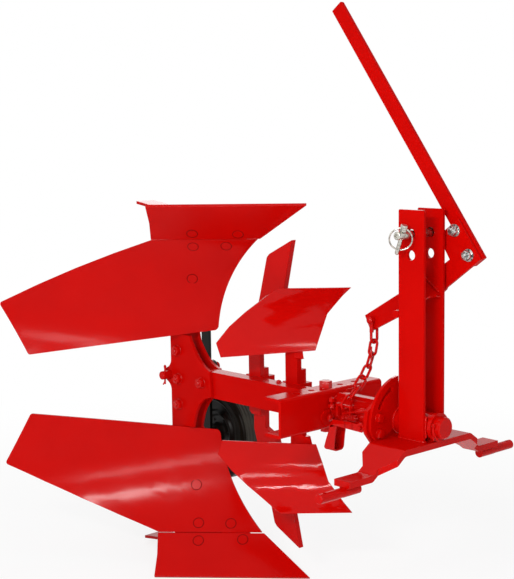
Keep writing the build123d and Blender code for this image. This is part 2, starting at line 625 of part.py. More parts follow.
def board_section(z, front, back, start_s):
    """Slice through the moldboard at one height, between two depths behind its face."""
    tilt = math.asin((z - BOARD_UPRIGHT_Z) / board_r)
    retreat = board_r * (math.cos(tilt) - math.cos(start_tilt))
    start = Vector(board_top.X - retreat / out_way.X, board_top.Y, z)
    plan_angle = math.radians(SHARE_ANGLE + (joint_z - z) * BOARD_TWIST)
    along = Vector(-math.cos(plan_angle), -math.sin(plan_angle), 0)
    behind = Vector(-math.sin(plan_angle), math.cos(plan_angle), 0) * (1 / math.cos(tilt))
    corners = [
        start + along * start_s + behind * front,
        start + along * BOARD_REACH + behind * front,
        start + along * BOARD_REACH + behind * back,
        start + along * start_s + behind * back,
    ]
    return make_face(Polyline(*corners, close=True))




def reach_along(edge):
    """Distance of an edge from the moldboard's start, along the cutting edge."""
    return (edge.center() - board_top).dot(edge_way)


# outline seen square on to the cutting edge: along it, and up
BOARD_OUTLINE = [(-60, joint_z), (-60, 142), (132, 135), (620, 80), (697, 219)]
BOARD_OUTLINE += [(590, 268), (487, 311.5), (380, 352.5), (275, joint_z)]
origin = Vector(board_top.X, board_top.Y, 0)
corners = [origin + edge_way * s + Vector(0, 0, z) for s, z in BOARD_OUTLINE]
outline = make_face(Polyline(*corners, close=True))
trim = Pos(*(out_way * 300)) * extrude(outline, amount=800, dir=out_way * -1)
outer_ends = [e for e in trim.edges().filter_by(Axis(origin, out_way)) if reach_along(e) > 600]
trim = fillet(outer_ends, BOARD_CORNER_R)
board_back = BOARD_STEP + BOARD_THICK
board = loft([board_section(z, BOARD_STEP, board_back, (joint_z - z) * BOARD_SHIN) for z in BOARD_HEIGHTS])
board = board & trim
shin_foot = board.edges().filter_by(lambda e: e.length < BOARD_THICK * 2).sort_by(reach_along)[:2]
nodes["moldboard_upper"] = fillet(shin_foot.sort_by(Axis.Z)[0], BOARD_FOOT_R)

# room that the legs and the frog leave for share and moldboard
board_room = loft([board_section(z, -200, board_back + SEAT, -200) for z in BOARD_HEIGHTS])
leg_room = board_room & box(SHAFT_LINE, SHAFT_LINE, (LEG_TRIM_Z, joint_z))
share_room = share_slab(
    [(-200, -100), (700, -100), (700, SHARE_DEPTH), (-200, SHARE_DEPTH)], -200, SHARE_THICK + SEAT
)
frog_points = [(-560, LEG_END_Z), (-625, LEG_END_Z), (-690, 350), (-745, 270), (-660, 270), (-560, 380)]
nodes["frog_upper"] = plate(frog_points, BEAM_Y) - board_room - share_room

# ---------------------------------------------------------------- legs

leg_outer = [(LEG_REAR_X, 52), (LEG_REAR_X, LEG_END_Z), (-580, LEG_END_Z), (-600, 380), (-690, 250)]
# front of each plate between the two bodies, from the upper one down
leg_front = {
    "near": [(-763, 132), (-757, 113), (-741, 87), (-722, 63), (-702, 47), (-681, 37)]
    + [(-676, -31), (-704, -40), (-725, -58), (-740, -82), (-750, -112), (-754, -132)],
    "far": [(-786, 132), (-779, 102), (-763, 79), (-749, 62), (-731, 48), (-711, 39), (-699, 36)]
    + [(-697, -36), (-730, -48), (-745, -61), (-760, -82), (-768, -100), (-778, -132)],
}
LEG_BOLTS = [(-808.5, 79.6), (-807, 3), (-711.6, 4), (-805, -67)]
leg_y = {
    "near": (BEAM_Y[0] - LEG_THICK, BEAM_Y[0]),
    "far": (BEAM_Y[1], BEAM_Y[1] + LEG_THICK),
}
# the ear for the wheel's shaft runs into the leg's rear edge in two hollow curves
hollow_x = LEG_REAR_X - EAR_FILLET_R
neck_rise = math.sqrt((EAR_R + EAR_FILLET_R) ** 2 - (EAR_X - hollow_x) ** 2)
neck_x = EAR_X + (hollow_x - EAR_X) * EAR_R / (EAR_R + EAR_FILLET_R)
for name, y in leg_y.items():
    leg = plate(leg_outer + leg_front[name] + [(x, -z) for x, z in reversed(leg_outer)], y)
    leg += box((neck_x, LEG_REAR_X), y, (EAR_Z - neck_rise, EAR_Z + neck_rise))
    for z in (EAR_Z - neck_rise, EAR_Z + neck_rise):
        leg -= rod("Y", (hollow_x, z), y, EAR_FILLET_R)
    leg += rod("Y", (EAR_X, EAR_Z), y, EAR_R)
    for room in (leg_room, share_room):
        leg = leg - room - upside_down(room)
    nodes[f"leg_plate_{name}"] = leg - rod("Y", (EAR_X, EAR_Z), y, WHEEL_SHAFT_R)
nodes["leg_bolts"] = apart(
    [hexagon("Y", at, (leg_y["near"][0] - 9, leg_y["near"][0]), 19) for at in LEG_BOLTS]
)

heel_points = [(x, LEG_END_Z + out) for x, out in HEEL_BEND]
heel_points += [(x, LEG_END_Z + out + HEEL_THICK) for x, out in reversed(HEEL_BEND)]
nodes["heel_upper"] = plate(heel_points, HEEL_WIDTH_Y)
landside_y = (leg_y["far"][1], leg_y["far"][1] + LANDSIDE_THICK)
nodes["landside_upper"] = box(LANDSIDE_X, landside_y, LANDSIDE_Z) - board_room

# ---------------------------------------------------------------- skimmers and knives

skim_rad = math.radians(SKIM_ANGLE)
skim_along = Vector(-math.cos(skim_rad), -math.sin(skim_rad), 0)
skim_out = Vector(math.sin(skim_rad), -math.cos(skim_rad), 0)
skim_tilt = math.radians(SKIM_TILT)
skim_r = (SKIM_EDGE_Z - SKIM_UPRIGHT_Z) / math.sin(skim_tilt)
skim_tip = Vector(*SKIM_TIP, 0)
SKIM_HEIGHTS = [SKIM_EDGE_Z, 235, 190, 145, 100]


def skim_section(z, front, back):
    """Slice through the skimmer at one height, between two depths behind its face."""
    tilt = math.asin((z - SKIM_UPRIGHT_Z) / skim_r)
    retreat = skim_r * (math.cos(tilt) - math.cos(skim_tilt))
    start = skim_tip - skim_out * retreat + Vector(0, 0, z)
    end = start + skim_along * SKIM_REACH
    to_front = skim_out * (-front / math.cos(tilt))
    to_back = skim_out * (-back / math.cos(tilt))
    return make_face(Polyline(start + to_front, end + to_front, end + to_back, start + to_back, close=True))


SKIM_OUTLINE = [
    (0, SKIM_EDGE_Z),
    (20, 262),
    (57, 214),
    (70, 172),
    (87, 120),
    (324, 106),
    (335, 142),
    (302, 183),
    (261, 221),
    (193, 275),
    (178, SKIM_EDGE_Z),
]
corners = [skim_tip + skim_along * s + Vector(0, 0, z) for s, z in SKIM_OUTLINE]
outline = make_face(Polyline(*corners, close=True))
trim = Pos(*(skim_out * 100)) * extrude(outline, amount=300, dir=skim_out * -1)
nodes["skimmer_upper"] = loft([skim_section(z, 0, SKIM_THICK) for z in SKIM_HEIGHTS]) & trim

skim_room = loft([skim_section(z, -150, SKIM_THICK + SEAT) for z in SKIM_HEIGHTS])
stalk_y = (BEAM_Y[1], BEAM_Y[1] + STALK_THICK)
low_stalk_y = (stalk_y[1], stalk_y[1] + STALK_THICK)


def skimmer_stalk(past, y):
    """Stalk of the upper skimmer in one layer, ending below the beam's middle."""
    points = [
        (SKIM_STALK_X[0], -past),
        (SKIM_STALK_X[0], 200),
        (-420, 240),
        (-340, 240),
        (-390, 100),
        (SKIM_STALK_X[1], 98),
        (SKIM_STALK_X[1], -past),
    ]
    return plate(points, y) - skim_room


def knife(past, y):
    """Knife coulter of the upper body with its stalk, ending below the beam's middle."""
    points = [
        (KNIFE_STALK_X[0] + 9, -past),
        (KNIFE_STALK_X[0], -past + 9),
        (KNIFE_STALK_X[0], 110),
        (-538, 242),
        (-509, 348),
        (-500, 357),
        (-418, 397),
        (-449, 268),
        (-500, 118),
        (KNIFE_STALK_X[1], 100),
        (KNIFE_STALK_X[1], -past),
    ]
    return plate(points, y)


nodes["skimmer_stalk_upper"] = skimmer_stalk(SKIM_STALK_PAST[0], stalk_y)
nodes["skimmer_stalk_lower"] = upside_down(skimmer_stalk(SKIM_STALK_PAST[1], low_stalk_y))
nodes["knife_upper"] = knife(KNIFE_STALK_PAST[0], stalk_y)
nodes["knife_lower"] = upside_down(knife(KNIFE_STALK_PAST[1], low_stalk_y))

# the two stalks of a pair lie one behind the other in a socket on the beam's far side
for name, stalk_x in (("skimmer", SKIM_STALK_X), ("knife", KNIFE_STALK_X)):
    room_x = (stalk_x[0] - SEAT, stalk_x[1] + SEAT)
    outside_x = (room_x[0] - SOCKET_WALL, room_x[1] + SOCKET_WALL)
    socket_y = (BEAM_Y[1], low_stalk_y[1] + SEAT + SOCKET_WALL)
    socket = box(outside_x, socket_y, (-SOCKET_HALF, SOCKET_HALF))
    socket -= box(room_x, (BEAM_Y[1], low_stalk_y[1] + SEAT), (-SOCKET_HALF, SOCKET_HALF))
    screw_x = (stalk_x[0] + stalk_x[1]) / 2
    screw_y = (socket_y[1], socket_y[1] + SOCKET_SCREW[1])
    for z in (-SOCKET_HALF / 2, SOCKET_HALF / 2):
        socket += hexagon("Y", (screw_x, z), screw_y, SOCKET_SCREW[0])
        socket += rod("Y", (screw_x, z), (low_stalk_y[1], socket_y[1]), SOCKET_SCREW[0] / 3)
    nodes[f"{name}_socket"] = socket

for name in ("moldboard", "share", "frog", "heel", "landside", "skimmer"):
    nodes[f"{name}_lower"] = upside_down(nodes[f"{name}_upper"])

# ---------------------------------------------------------------- depth wheel

arm_y = (WHEEL_ARM_Y, WHEEL_ARM_Y + WHEEL_ARM_THICK)
boss_y = (arm_y[0] - 10, arm_y[1] + 20)
shaft_end_y = boss_y[1] + 14
wheel_shaft = rod("Y", (EAR_X, EAR_Z), (WHEEL_SHAFT_NEAR_Y, shaft_end_y), WHEEL_SHAFT_R)
near_edge = wheel_shaft.edges().filter_by(GeomType.CIRCLE).group_by(Axis.Y)[0]
nodes["wheel_arm_shaft"] = fillet(near_edge, WHEEL_SHAFT_ROUND)

half_arm = WHEEL_ARM_WIDTH / 2
arm_z = (EAR_Z - WHEEL_ARM_LENGTH - half_arm, EAR_Z + WHEEL_ARM_UP)
arm = box((EAR_X - half_arm, EAR_X + half_arm), arm_y, arm_z)
arm += rod("Y", (EAR_X, EAR_Z), boss_y, WHEEL_ARM_BOSS_R)
arm += rod("Y", (EAR_X, EAR_Z - STOP_PEG_REACH), (STOP_COLLAR_Y[0], arm_y[0]), STOP_PEG_R)
nodes["wheel_arm"] = arm - rod("Y", (EAR_X, EAR_Z), SHAFT_LINE, WHEEL_SHAFT_R + FIT)

stop_x = EAR_X - STOP_PEG_R - SEAT
stop_half = STOP_PEG_REACH + STOP_PEG_R
stop = box((stop_x - 16, stop_x), STOP_COLLAR_Y, (EAR_Z - stop_half, EAR_Z + stop_half))
stop += rod("Y", (EAR_X, EAR_Z), STOP_COLLAR_Y, WHEEL_SHAFT_R + 6)
nodes["wheel_stop_collar"] = stop - wheel_shaft

centre = (EAR_X, EAR_Z - WHEEL_ARM_LENGTH)
wheel_y = (WHEEL_NEAR_Y, WHEEL_NEAR_Y + WHEEL_WIDTH)
axle = rod("Y", centre, (arm_y[1], wheel_y[1] + 12), WHEEL_AXLE_R)
axle += rod("Y", centre, (arm_y[1], wheel_y[0] - SEAT), WHEEL_AXLE_R + 6)
axle += hexagon("Y", centre, (wheel_y[1] + SEAT, wheel_y[1] + 9), 28)
nodes["wheel_axle"] = axle
nodes["wheel_tyre"] = rod("Y", centre, wheel_y, WHEEL_R) - rod("Y", centre, wheel_y, RIM_R)
rim = rod("Y", centre, (wheel_y[0] + RIM_SIDE, wheel_y[1] - RIM_SIDE), RIM_R)
rim += rod("Y", centre, wheel_y, WHEEL_HUB_R)
nodes["wheel_rim"] = rim - rod("Y", centre, wheel_y, WHEEL_AXLE_R + FIT)

for name, shape in nodes.items():
    export_step(Pos(0, 0, -TOP_HOLE_LOWER_Z) * shape, f"parts/{name}.step")
print(len(nodes), "nodes")
print("chain pin", CHAIN_PIN, "latch eye", chain_eye)
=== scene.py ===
import json
import math

import bmesh
import bpy
from mathutils import Matrix, Vector
from mathutils.bvhtree import BVHTree


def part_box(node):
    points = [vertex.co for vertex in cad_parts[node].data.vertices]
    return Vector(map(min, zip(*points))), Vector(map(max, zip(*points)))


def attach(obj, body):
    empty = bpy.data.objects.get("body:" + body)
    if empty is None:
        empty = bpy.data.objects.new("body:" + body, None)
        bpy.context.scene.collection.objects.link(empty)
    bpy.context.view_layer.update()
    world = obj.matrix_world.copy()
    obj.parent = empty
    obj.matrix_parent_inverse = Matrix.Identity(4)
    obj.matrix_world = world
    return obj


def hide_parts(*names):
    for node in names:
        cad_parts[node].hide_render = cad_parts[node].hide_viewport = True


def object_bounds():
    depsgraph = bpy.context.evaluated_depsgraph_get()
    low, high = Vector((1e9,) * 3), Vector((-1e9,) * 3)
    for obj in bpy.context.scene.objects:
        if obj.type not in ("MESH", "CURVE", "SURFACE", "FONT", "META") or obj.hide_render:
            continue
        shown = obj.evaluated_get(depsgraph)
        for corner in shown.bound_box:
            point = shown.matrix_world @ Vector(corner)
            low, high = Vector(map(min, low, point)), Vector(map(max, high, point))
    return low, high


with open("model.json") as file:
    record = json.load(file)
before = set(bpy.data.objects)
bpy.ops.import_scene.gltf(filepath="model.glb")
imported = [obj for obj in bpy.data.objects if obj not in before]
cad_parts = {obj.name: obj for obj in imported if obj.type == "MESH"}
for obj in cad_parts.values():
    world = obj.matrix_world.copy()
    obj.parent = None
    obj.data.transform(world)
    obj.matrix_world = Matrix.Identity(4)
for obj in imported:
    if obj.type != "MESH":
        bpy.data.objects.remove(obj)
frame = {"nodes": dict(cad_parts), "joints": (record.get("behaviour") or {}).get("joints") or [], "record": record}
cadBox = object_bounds()
jointAt = {joint["name"]: Vector(joint["pos_m"]) for joint in frame["joints"]}
bodyOf = {}
for bodyName, nodeNames in frame["record"]["behaviour"]["bodies"].items():
    for nodeName in nodeNames:
        bodyOf[nodeName] = bodyName
turnAxis = jointAt["turnover_lock"]
print("frame loaded,", len(bodyOf), "nodes")


def spot(x, y, z):
    # millimetres from the turnover axis at the mast, to the frame's metres
    return turnAxis + Vector((x, y, z)) / 1000


# ---- shaders


class Socket:
    # an output of a node, which sums and products can be written with
    def __init__(self, shades, out):
        self.shades = shades
        self.out = out

    def maths(self, operation, first, second):
        return self.shades.node("ShaderNodeMath", {"operation": operation}, {0: first, 1: second})

    def __add__(self, other):
        return self.maths("ADD", self, other)

    def __radd__(self, other):
        return self.maths("ADD", other, self)

    def __mul__(self, other):
        return self.maths("MULTIPLY", self, other)

    def __rmul__(self, other):
        return self.maths("MULTIPLY", other, self)

    def above(self, limit, soft):
        # 0 under the limit, 1 over it, with a soft step
        settings = {"interpolation_type": "SMOOTHSTEP"}
        links = {0: self, 1: limit - soft, 2: limit + soft}
        return self.shades.node("ShaderNodeMapRange", settings, links)


class Shades:
    # the nodes of one material or of the world
    def __init__(self, owner):
        owner.use_nodes = True
        self.owner = owner
        self.tree = owner.node_tree
        self.tree.nodes.clear()

    def node(self, kind, settings=None, links=None, output=0):
        made = self.tree.nodes.new(kind)
        for key, value in (settings or {}).items():
            setattr(made, key, value)
        for key, value in (links or {}).items():
            if isinstance(value, Socket):
                self.tree.links.new(value.out, made.inputs[key])
            else:
                made.inputs[key].default_value = value
        return Socket(self, made.outputs[output]) if made.outputs else None

    def place(self):
        return self.node("ShaderNodeTexCoord", output="Object")

    def noise(self, scale, detail=2.0, rough=0.5, where=None):
        links = {"Vector": where or self.place(), "Scale": scale, "Detail": detail, "Roughness": rough}
        return self.node("ShaderNodeTexNoise", None, links)

    def blend(self, factor, first, second):
        links = {0: factor, 6: (*first, 1) if isinstance(first, tuple) else first}
        links[7] = (*second, 1) if isinstance(second, tuple) else second
        return self.node("ShaderNodeMix", {"data_type": "RGBA"}, links, 2)

    def bump(self, height, strength, distance):
        links = {"Strength": strength, "Distance": distance, "Height": height}
        return self.node("ShaderNodeBump", None, links)

    def done(self, links):
        surface = self.node("ShaderNodeBsdfPrincipled", None, links)
        self.node("ShaderNodeOutputMaterial", None, {"Surface": surface})
        return self.owner


# each finish is roughness, fineness of grain, mirror level, and coat on level faces
redPaint = {
    "colours": ((0.52, 0.0018, 0.0008), (0.47, 0.0013, 0.0006)),
    # painted shade: dark reds for the thin ring round each flat bolt head, standing in for the shadow in a sunk
    # head's recess
    "gapColours": ((0.16, 0.001, 0.0005), (0.10, 0.001, 0.0005)),
    "peel": 0.0004,
    "coatRough": 0.16,
    "plates": (0.13, 1.0, 0.08, 0),
    "bars": (0.16, 1.0, 0.02, 0.7),
    "skimmers": (0.05, 0.6, 0.14, 0),
    "small": (0.14, 2.2, 0.13, 0.3),
    "gaps": (0.6, 1.0, 0.05, 0),
}


def makeRedPaint(name, kind, colours="colours"):
    # level faces carry a thicker, glossier coat
    gloss, grain, level, topGloss = redPaint[kind]
    shades = Shades(bpy.data.materials.new(name))
    normal = shades.node("ShaderNodeTexCoord", output="Normal")
    facing = shades.node("ShaderNodeSeparateXYZ", None, {0: normal}, "Z")
    clouds = shades.noise(7, 3)
    peel = shades.noise(230 * grain, 1)
    runs = shades.noise(38 * grain, 2)
    links = {
        "Base Color": shades.blend(clouds.above(0.5, 0.28), *redPaint[colours]),
        "Roughness": gloss + 0.07 * clouds.above(0.52, 0.2) + 0.03 * peel,
        "Specular IOR Level": level,
        "Coat Weight": facing.above(0.85, 0.1) * topGloss,
        "Coat Roughness": redPaint["coatRough"],
        "Normal": shades.bump(peel * 0.35 + runs * 0.65, 0.09, redPaint["peel"]),
    }
    return shades.done(links)


blackPaint = {"colours": ((0.0035, 0.0032, 0.0026), (0.0070, 0.0064, 0.0050)), "rough": 0.26, "level": 0.14}


def makeBlackPaint(name):
    shades = Shades(bpy.data.materials.new(name))
    clouds = shades.noise(22, 4)
    peel = shades.noise(300, 2)
    links = {
        "Base Color": shades.blend(clouds.above(0.5, 0.2), *blackPaint["colours"]),
        "Roughness": blackPaint["rough"] + 0.12 * clouds,
        "Specular IOR Level": blackPaint["level"],
        "Normal": shades.bump(peel, 0.25, 0.0004),
    }
    return shades.done(links)


def makeTyre(name, pale, level):
    # rubber with darker patches
    shades = Shades(bpy.data.materials.new(name))
    clouds = shades.noise(30, 4)
    grain = shades.noise(900, 2)
    dark = tuple(channel * 0.55 for channel in pale)
    links = {
        "Base Color": shades.blend(clouds.above(0.5, 0.2), dark, pale),
        "Roughness": 0.30 + 0.15 * clouds,
        "Specular IOR Level": level,
        "Normal": shades.bump(grain * 0.5 + clouds, 0.3, 0.0005),
    }
    return shades.done(links)


def makeZinc(name, colour, rough, worn):
    # plated steel, with spots that are darker by the factor worn
    shades = Shades(bpy.data.materials.new(name))
    spangle = shades.noise(150, 2, 0.6)
    clouds = shades.noise(40, 3)
    dull = tuple(channel * worn for channel in colour)
    links = {
        "Base Color": shades.blend(spangle.above(0.53, 0.06), colour, dull),
        "Metallic": 1.0,
        "Roughness": rough + 0.14 * clouds + 0.08 * spangle,
        "Normal": shades.bump(spangle, 0.3, 0.0002),
    }
    return shades.done(links)


red = makeRedPaint("redPaint", "plates")
redBars = makeRedPaint("redPaintOnBars", "bars")
redSkimmers = makeRedPaint("redPaintOnSkimmers", "skimmers")
redSmall = makeRedPaint("redPaintOnSmallParts", "small")
# paint for the rings round the bolt heads, darkened as painted shade
gap = makeRedPaint("paintInGaps", "gaps", "gapColours")
black = makeBlackPaint("blackPaint")
tyre = makeTyre("tyreRubber", (0.0080, 0.0070, 0.0045), 0.08)
tread = makeTyre("treadRubber", (0.024, 0.019, 0.010), 0.25)
zinc = makeZinc("zincPlate", (0.60, 0.58, 0.52), 0.16, 0.55)
galvanised = makeZinc("galvanisedBolts", (0.60, 0.60, 0.58), 0.20, 0.22)
print("materials made")

# ---- pieces


def finish(bm, name, body, material, replaced=(), sharp=40, weighted=False):
    # a mesh made into a piece that rides a body, in place of the nodes it replaces
    mesh = bpy.data.meshes.new(name)
    bm.to_mesh(mesh)
    bm.free()
    mesh.shade_smooth()
    mesh.set_sharp_from_angle(angle=math.radians(sharp))
    mesh.materials.append(material)
    piece = bpy.data.objects.new(name, mesh)
    bpy.context.scene.collection.objects.link(piece)
    if weighted:
        weights = piece.modifiers.new("weights", "WEIGHTED_NORMAL")
        weights.mode = "FACE_AREA_WITH_ANGLE"
        weights.keep_sharp = True
    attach(piece, body)
    if replaced:
        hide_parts(*replaced)


def breakEdges(bm, edges, offset, clamp=False, slide=False):
    bmesh.ops.bevel(
        bm, geom=edges, offset=offset, offset_type="OFFSET", affect="EDGES", segments=2,
        profile=0.5, material=-1, clamp_overlap=clamp, loop_slide=slide,
    )


weldDistance = 4e-6
softening = {"corner": math.radians(28), "flat": math.radians(0.3)}


def softened(node, material, edge):
    # a copy of a node with its arrises rounded, as paint leaves them
    bm = bmesh.new()
    bm.from_mesh(frame["nodes"][node].data)
    bmesh.ops.remove_doubles(bm, verts=bm.verts, dist=weldDistance)
    bmesh.ops.dissolve_limit(bm, angle_limit=softening["flat"], verts=bm.verts, edges=bm.edges)
    shared = [e for e in bm.edges if len(e.link_faces) == 2]
    arrises = [e for e in shared if e.calc_face_angle() > softening["corner"]]
    breakEdges(bm, arrises, edge, True, True)
    camel = "".join(word.capitalize() for word in node.split("_"))
    finish(bm, "finished" + camel, bodyOf[node], material, (node,), 60, True)


softEdges = {
    "mast_bar_near": 0.0015, "mast_bar_far": 0.0015, "mast_tie_plate": 0.001, "lower_crossbar": 0.002,
    "hub_tube": 0.001, "sector_plate": 0.001, "adjuster_plate": 0.001, "lever_stop_bar": 0.001,
    "lever_plate": 0.001, "lever_handle": 0.002, "cross_channel": 0.0012, "beam": 0.0015,
    "leg_plate_near": 0.0012, "leg_plate_far": 0.0012, "share_upper": 0.0012, "share_lower": 0.0012,
    "moldboard_upper": 0.001, "moldboard_lower": 0.001, "skimmer_upper": 0.001, "skimmer_lower": 0.001,
    "skimmer_stalk_upper": 0.0012, "skimmer_stalk_lower": 0.0012,
    "knife_upper": 0.0012, "knife_lower": 0.0012, "heel_upper": 0.0012, "heel_lower": 0.0012,
    "skimmer_socket": 0.0012, "knife_socket": 0.0012,
    "landside_upper": 0.001, "landside_lower": 0.001, "frog_upper": 0.001, "frog_lower": 0.001,
    "wheel_stop_collar": 0.0008, "turn_sleeve": 0.001, "catch_lugs": 0.001,
}
plates = ("share", "moldboard", "heel", "landside", "lower_crossbar", "knife_upper", "knife_lower")
for nodeName, edge in softEdges.items():
    paint = redBars
    if nodeName.startswith(plates):
        paint = red
    if nodeName in ("skimmer_upper", "skimmer_lower"):
        paint = redSkimmers
    softened(nodeName, paint, edge)
print("finished copies made")

plainPaint = {"top_link_pin": zinc, "linch_pin": zinc, "lever_bolts": galvanised, "wheel_tyre": tyre}
for nodeName, node in frame["nodes"].items():
    material = plainPaint.get(nodeName, red)
    if bodyOf[nodeName] in ("wheel_arm", "wheel") and nodeName != "wheel_tyre":
        material = black
    node.data.materials.clear()
    node.data.materials.append(material)
    node.material_slots[0].material = material
print("plain nodes painted")

# ---- fasteners, wires and welds


def added(bm, before):
    return [v for v in bm.verts if v not in before]


def turnOutward(bm, fresh):
    faces = {face for v in fresh for face in v.link_faces}
    bmesh.ops.recalc_face_normals(bm, faces=list(faces))


def turnedShape(bm, profile, at, way, steps=32):
    # a shape turned round an axis: radius and distance along it, in millimetres
    before = set(bm.verts)
    chain = [bm.verts.new((radius / 1000, 0, along / 1000)) for radius, along in profile]
    runs = [bm.edges.new(pair) for pair in zip(chain, chain[1:])]
    bmesh.ops.spin(
        bm, geom=chain + runs, axis=(0, 0, 1), cent=(0, 0, 0), steps=steps, angle=2 * math.pi, use_merge=True
    )
    bmesh.ops.remove_doubles(bm, verts=added(bm, before), dist=1e-6)
    settle(bm, added(bm, before), at, way)


def hexShape(bm, across, span, at, way, turn=0.0):
    # a six-sided head or nut with its outer corners taken off
    before = set(bm.verts)
    radius = across / math.sqrt(3) / 1000
    depth = (span[1] - span[0]) / 1000
    bmesh.ops.create_cone(bm, cap_ends=True, segments=6, radius1=radius, radius2=radius, depth=depth)
    fresh = added(bm, before)
    bmesh.ops.rotate(bm, verts=fresh, cent=(0, 0, 0), matrix=Matrix.Rotation(turn, 3, "Z"))
    bmesh.ops.translate(bm, verts=fresh, vec=(0, 0, span[0] / 1000 + depth / 2))
    top = [e for e in bm.edges if all(v in fresh and v.co.z > span[1] / 1000 - 1e-5 for v in e.verts)]
    breakEdges(bm, top, across * 0.07 / 1000)
    settle(bm, added(bm, before), at, way)


def settle(bm, fresh, at, way):
    # from the origin and +Z to a place and a direction
    turn = Vector(way).to_track_quat("Z", "Y").to_matrix().to_4x4()
    bmesh.ops.transform(bm, matrix=Matrix.Translation(at) @ turn, verts=fresh)
    turnOutward(bm, fresh)


def disc(radius, low, high, edge=0.5):
    # profile of a flat round plate with broken edges
    return [
        (0, low), (radius - edge, low), (radius, low + edge),
        (radius, high - edge), (radius - edge, high), (0, high),
    ]


def stud(radius, low, high, pitch=1.6):
    # profile of a threaded end with a cone at its tip
    turns = int((high - low - 1.5) / pitch)
    line = [(radius - 0.5, low)]
    for index in range(turns):
        start = low + index * pitch
        line += [(radius, start + pitch * 0.35), (radius - 0.7, start + pitch * 0.85)]
    return [(0, low)] + line + [(radius - 0.6, high - 1.4), (radius - 2, high), (0, high)]


def boltEnd(bm, at, way, size, turn):
    # washer, nut and the thread that stands out of it
    washerRadius, washerTop = size["washer"]
    turnedShape(bm, disc(washerRadius, 0, washerTop, 0.6), at, way, 36)
    top = washerTop + size["nut"]
    hexShape(bm, size["across"], (washerTop, top), at, way, turn)
    turnedShape(bm, stud(size["radius"], top - 1, top + size["thread"]), at, way, 24)


def ringShape(bm, radius, wire, at, way, steps=48, turns=1.0, rise=0.0):
    # a ring of round wire, or with more turns and a rise a coil spring
    before = set(bm.verts)
    bmesh.ops.create_circle(bm, segments=10, radius=wire / 1000)
    fresh = added(bm, before)
    bmesh.ops.rotate(bm, verts=fresh, cent=(0, 0, 0), matrix=Matrix.Rotation(math.pi / 2, 3, "X"))
    bmesh.ops.translate(bm, verts=fresh, vec=(radius / 1000, 0, 0))
    loop = [e for e in bm.edges if all(v in fresh for v in e.verts)]
    whole = abs(turns - 1) < 1e-6 and not rise
    bmesh.ops.spin(
        bm, geom=fresh + loop, axis=(0, 0, 1), cent=(0, 0, 0), steps=int(steps * turns),
        angle=2 * math.pi * turns, dvec=(0, 0, rise / 1000 / int(steps * turns)), use_merge=whole,
    )
    if not whole:
        ends = [e for e in bm.edges if e.is_boundary and all(v not in before for v in e.verts)]
        bmesh.ops.holes_fill(bm, edges=ends, sides=12)
    settle(bm, added(bm, before), at, way)


def run(*places):
    # points given in millimetres from the turnover axis
    return [spot(*place) for place in places]


def wires(name, paths, radius, body, material, ripple=0.0, curved=False):
    # round rods or weld beads that follow runs of points
    curve = bpy.data.curves.new(name, "CURVE")
    curve.dimensions = "3D"
    curve.bevel_depth = radius / 1000
    curve.bevel_resolution = 3
    curve.use_fill_caps = True
    for index, path in enumerate(paths):
        points = [Vector(point) for point in path]
        if ripple:
            fine = []
            for start, end in zip(points, points[1:]):
                count = max(2, int((end - start).length / 0.0016))
                fine += [start.lerp(end, step / count) for step in range(count)]
            points = fine + [points[-1]]
        spline = curve.splines.new("NURBS" if curved else "POLY")
        spline.points.add(len(points) - 1)
        for step, (knot, point) in enumerate(zip(spline.points, points)):
            knot.co = (*point, 1)
            wave = math.sin(step * 2.1 + index) * 0.6 + math.sin(step * 0.73 + index * 2) * 0.4
            knot.radius = 1 + ripple * wave
        if curved:
            spline.order_u = 3
            spline.use_endpoint_u = True
            spline.resolution_u = 8
    piece = bpy.data.objects.new(name, curve)
    bpy.context.scene.collection.objects.link(piece)
    curve.materials.append(material)
    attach(piece, body)


def loosePieces(node):
    # middle of each separate solid of a node, in metres, the highest first
    bm = bmesh.new()
    bm.from_mesh(frame["nodes"][node].data)
    bmesh.ops.remove_doubles(bm, verts=bm.verts, dist=weldDistance)
    left, found = set(bm.verts), []
    while left:
        group, front = set(), [left.pop()]
        while front:
            v = front.pop()
            group.add(v)
            for e in v.link_edges:
                other = e.other_vert(v)
                if other in left:
                    left.discard(other)
                    front.append(other)
        low = Vector([min(v.co[axis] for v in group) for axis in range(3)])
        high = Vector([max(v.co[axis] for v in group) for axis in range(3)])
        found.append((low + high) / 2)
    bm.free()
    return sorted(found, key=lambda centre: -centre.z)


near, far, ahead, behind, upward, downward = (
    (0, -1, 0), (0, 1, 0), (1, 0, 0), (-1, 0, 0), (0, 0, 1), (0, 0, -1)
)

# bolts that hold the beam between the leg plates
legBolt = {"washer": (14.5, 2.5), "across": 24, "nut": 11, "radius": 7.5, "thread": 5, "headTop": 12}
bm = bmesh.new()
for index, centre in enumerate(loosePieces("leg_bolts")):
    seat = Vector((centre.x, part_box("leg_plate_near")[0][1], centre.z))
    boltEnd(bm, seat, near, legBolt, 0.4 + index * 0.5)
    back = Vector((centre.x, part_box("leg_plate_far")[1][1], centre.z))
    washerRadius, washerTop = legBolt["washer"]
    turnedShape(bm, disc(washerRadius, 0, washerTop, 0.6), back, far, 36)
    hexShape(bm, legBolt["across"], (washerTop, legBolt["headTop"]), back, far, index * 0.9)
finish(bm, "legBoltsAndNuts", "turnover_frame", redSmall, ("leg_bolts",), 35)

# bolts between the lever's plate and its handle
leverBolt = {"washer": (14.5, 2.5), "across": 21.5, "nut": 10.5, "radius": 6.5, "thread": 6}
leverBolt.update({"headTop": 8.5, "shift": 0.006})
bm = bmesh.new()
for index, centre in enumerate(loosePieces("lever_bolts")):
    boltX = centre.x - leverBolt["shift"]
    boltEnd(bm, Vector((boltX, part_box("lever_plate")[0][1], centre.z)), near, leverBolt, 0.3 + index)
    back = Vector((boltX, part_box("lever_handle")[1][1], centre.z))
    hexShape(bm, leverBolt["across"], (0, leverBolt["headTop"]), back, far, index)
finish(bm, "leverBoltsAndNuts", "lever", galvanised, ("lever_bolts",), 35)
print("bolts made")

